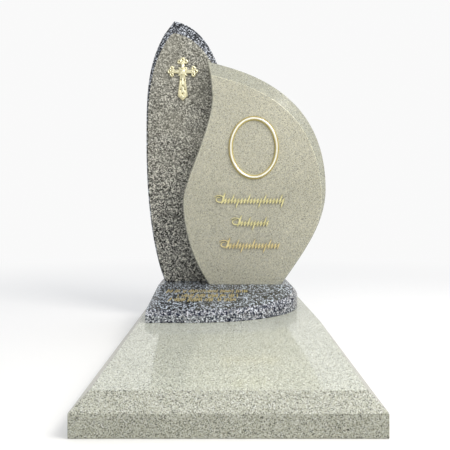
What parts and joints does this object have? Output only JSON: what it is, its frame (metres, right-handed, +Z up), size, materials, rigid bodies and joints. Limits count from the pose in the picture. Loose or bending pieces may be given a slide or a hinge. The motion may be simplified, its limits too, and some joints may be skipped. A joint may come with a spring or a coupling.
{
  "type": "two-slab granite grave memorial",
  "caption": "Polished granite memorial: a pointed dark slab and a drop-shaped pale slab on a sloping plinth and a bevelled ledger, with a gilt cross, oval frame and name lines.",
  "frame": {"origin": "centre of the ledger's underside, on the ground", "axes": "+Z up; +Y from the foot of the ledger towards the slabs at its head; +X to the right of someone facing the slabs"},
  "size_m": [0.6861, 1.2, 1.174],
  "materials": {
    "pale_granite": "polished fine-grained pale grey-beige granite",
    "dark_granite": "polished coarse-grained black, grey and white granite",
    "gilding": "gilt, polished"
  },
  "bodies": {
    "root": {"ledger": "pale_granite", "plinth": "dark_granite", "dark_slab": "dark_granite", "light_slab": "pale_granite", "gilt_cross": "gilding", "oval_frame": "gilding", "name_line_upper": "gilding", "name_line_middle": "gilding", "name_line_lower": "gilding"}
  },
  "joints": []
}
